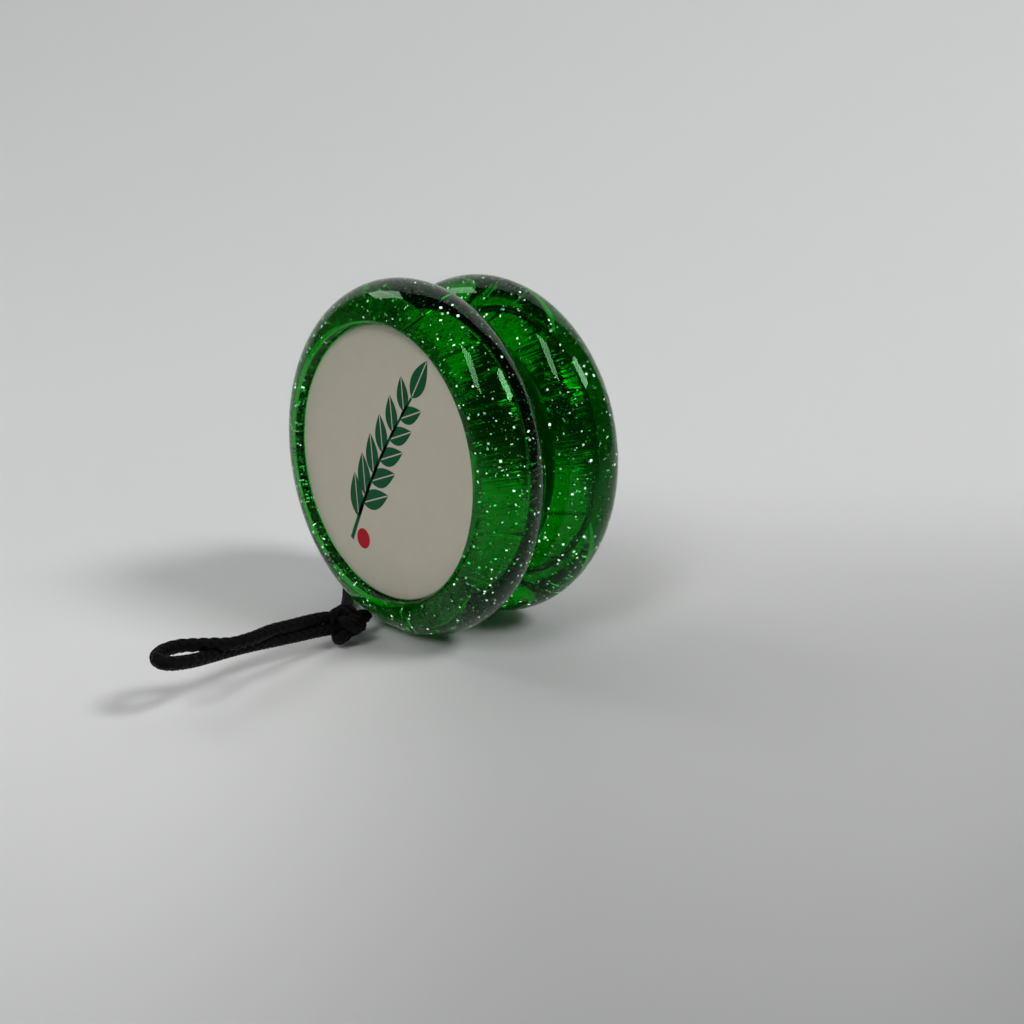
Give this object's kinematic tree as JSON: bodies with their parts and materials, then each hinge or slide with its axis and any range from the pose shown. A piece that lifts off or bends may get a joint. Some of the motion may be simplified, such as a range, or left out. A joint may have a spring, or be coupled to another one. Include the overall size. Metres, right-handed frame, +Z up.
{
  "type": "yo-yo",
  "caption": "Round-rimmed clear green yo-yo with white end caps, its string wound on the axle and ending in a finger loop.",
  "frame": {"origin": "middle of the axle, half way between the two halves", "axes": "+Y along the axle from the front cap to the back cap, +Z up from the table the rims stand on"},
  "size_m": [0.057, 0.0688, 0.057],
  "materials": {
    "shell": "clear green with silver glitter, polished",
    "cap": "warm white, satin, printed",
    "pin": "ground steel",
    "sleeve": "turned brass",
    "string": "black braided cord"
  },
  "bodies": {
    "yoyo": {"front_shell": "shell", "back_shell": "shell", "front_cap": "cap", "back_cap": "cap", "axle": "pin", "axle_sleeve": "sleeve"},
    "string": {"string_coil": "string", "string_lead": "string", "string_knot": "string", "finger_loop": "string", "string_tail": "string"}
  },
  "joints": [
    {"name": "string_turn", "type": "hinge", "parent": "yoyo", "child": "string", "pos_m": [0, 0, 0], "axis": [0, 1, 0], "continuous": true}
  ]
}
